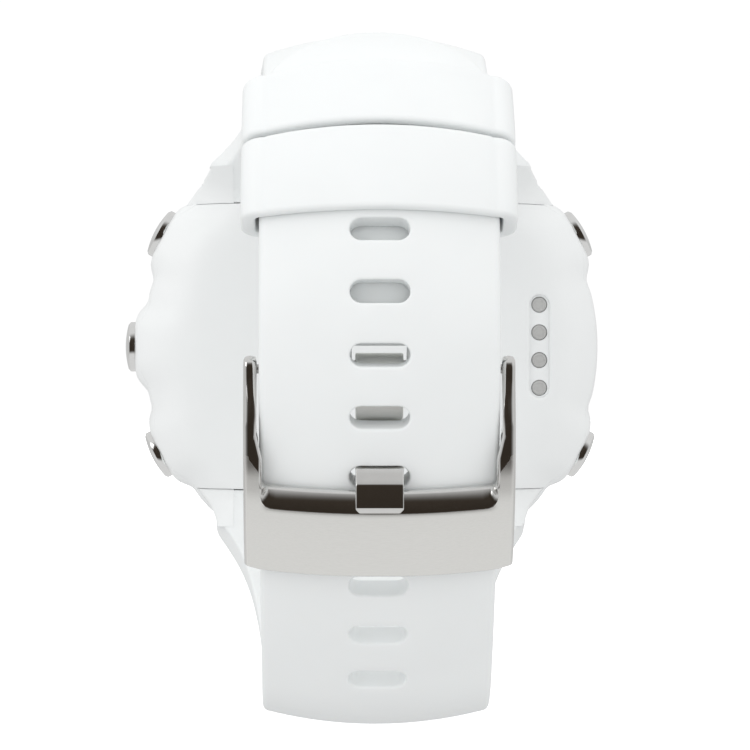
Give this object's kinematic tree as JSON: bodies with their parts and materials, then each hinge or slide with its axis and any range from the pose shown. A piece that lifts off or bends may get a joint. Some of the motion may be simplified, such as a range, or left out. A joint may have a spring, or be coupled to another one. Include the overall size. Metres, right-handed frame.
{
  "type": "golf gps watch",
  "caption": "Round polymer golf GPS watch with metal side keys, a moulded strap closed by a pin buckle, and strap keepers.",
  "frame": {"origin": "centre of the case back's flat wrist face", "axes": "+Y is the dial's outward normal, away from the wrist; +Z points to 12 o'clock; +X points to the wrist's side of the two-key flank"},
  "size_m": [0.0467, 0.0626, 0.0623],
  "materials": {
    "case_polymer": "satin white",
    "bezel_polymer": "smooth white",
    "strap_rubber": "soft matte white",
    "key_metal": "polished",
    "buckle_metal": "brushed and polished",
    "pin_steel": "turned",
    "spring_steel": "bright drawn",
    "contact_metal": "plated",
    "seal_rubber": "matte black",
    "insert_polymer": "fine grain",
    "lens_glass": "clear",
    "display_black": "glossy",
    "diffuser": "diffusing",
    "inner_polymer": "moulded",
    "antenna_plating": "plated",
    "board_green": "solder mask",
    "can_metal": "satin",
    "chip_black": "moulded",
    "cell_foil": "foil",
    "flex_polyimide": "film"
  },
  "bodies": {
    "watch": {"mid_case": "case_polymer", "rear_cover": "case_polymer", "cover_gasket": "seal_rubber", "cover_screws": "pin_steel", "bezel_ring": "bezel_polymer", "lens": "lens_glass", "lens_gasket": "seal_rubber", "display_panel": "display_black", "backlight": "diffuser", "display_frame": "inner_polymer", "display_flex": "flex_polyimide", "gps_antenna": "antenna_plating", "main_board": "board_green", "shield_can": "can_metal", "board_chips": "chip_black", "tact_switches": "can_metal", "battery": "cell_foil", "battery_lead": "seal_rubber", "vibration_motor": "can_metal", "contact_insert": "insert_polymer", "charging_contacts": "contact_metal", "strap_short": "strap_rubber", "strap_long": "strap_rubber", "lug_bars": "pin_steel", "lug_screws": "pin_steel", "keeper_fixed": "strap_rubber"},
    "keeper": {"keeper_free": "strap_rubber"},
    "buckle": {"buckle_frame": "buckle_metal", "spring_bar_tube": "pin_steel", "spring_bar_spring": "spring_steel"},
    "bar_tip_a": {"spring_bar_tip_a": "pin_steel"},
    "bar_tip_b": {"spring_bar_tip_b": "pin_steel"},
    "tongue": {"buckle_tongue": "buckle_metal"},
    "key_upper_a": {"key_upper_a": "key_metal", "seal_upper_a": "seal_rubber", "clip_upper_a": "spring_steel"},
    "key_middle_a": {"key_middle_a": "key_metal", "seal_middle_a": "seal_rubber", "clip_middle_a": "spring_steel"},
    "key_lower_a": {"key_lower_a": "key_metal", "seal_lower_a": "seal_rubber", "clip_lower_a": "spring_steel"},
    "key_upper_b": {"key_upper_b": "key_metal", "seal_upper_b": "seal_rubber", "clip_upper_b": "spring_steel"},
    "key_lower_b": {"key_lower_b": "key_metal", "seal_lower_b": "seal_rubber", "clip_lower_b": "spring_steel"}
  },
  "joints": [
    {"name": "key_upper_a_press", "type": "slide", "parent": "watch", "child": "key_upper_a", "axis": [0.8788, 0, -0.4772], "range_m": [0, 0.0005], "stiffness_N_per_m": 800, "springref_m": -0.002},
    {"name": "key_middle_a_press", "type": "slide", "parent": "watch", "child": "key_middle_a", "axis": [1, 0, 0], "range_m": [0, 0.0005], "stiffness_N_per_m": 800, "springref_m": -0.002},
    {"name": "key_lower_a_press", "type": "slide", "parent": "watch", "child": "key_lower_a", "axis": [0.891, 0, 0.454], "range_m": [0, 0.0005], "stiffness_N_per_m": 800, "springref_m": -0.002},
    {"name": "key_upper_b_press", "type": "slide", "parent": "watch", "child": "key_upper_b", "axis": [-0.8788, 0, -0.4772], "range_m": [0, 0.0005], "stiffness_N_per_m": 800, "springref_m": -0.002},
    {"name": "key_lower_b_press", "type": "slide", "parent": "watch", "child": "key_lower_b", "axis": [-0.891, 0, 0.454], "range_m": [0, 0.0005], "stiffness_N_per_m": 800, "springref_m": -0.002},
    {"name": "keeper_slide", "type": "hinge", "parent": "watch", "child": "keeper", "pos_m": [0, -0.0235, 0.002], "axis": [-1, 0, 0], "range_deg": [0, 9]},
    {"name": "buckle_swing", "type": "hinge", "parent": "watch", "child": "buckle", "pos_m": [0, -0.04559, -0.00229], "axis": [-1, 0, 0], "range_deg": [0, 60], "deforming": ["strap_long"]},
    {"name": "tongue_lift", "type": "hinge", "parent": "buckle", "child": "tongue", "pos_m": [0, -0.04559, -0.00229], "axis": [-1, 0, 0], "range_deg": [0, 50], "deforming": ["strap_long"]},
    {"name": "bar_tip_a_slide", "type": "slide", "parent": "buckle", "child": "bar_tip_a", "axis": [1, 0, 0], "range_m": [0, 0.0009], "stiffness_N_per_m": 400, "springref_m": -0.001},
    {"name": "bar_tip_b_slide", "type": "slide", "parent": "buckle", "child": "bar_tip_b", "axis": [-1, 0, 0], "range_m": [0, 0.0009], "stiffness_N_per_m": 400, "springref_m": -0.001}
  ]
}
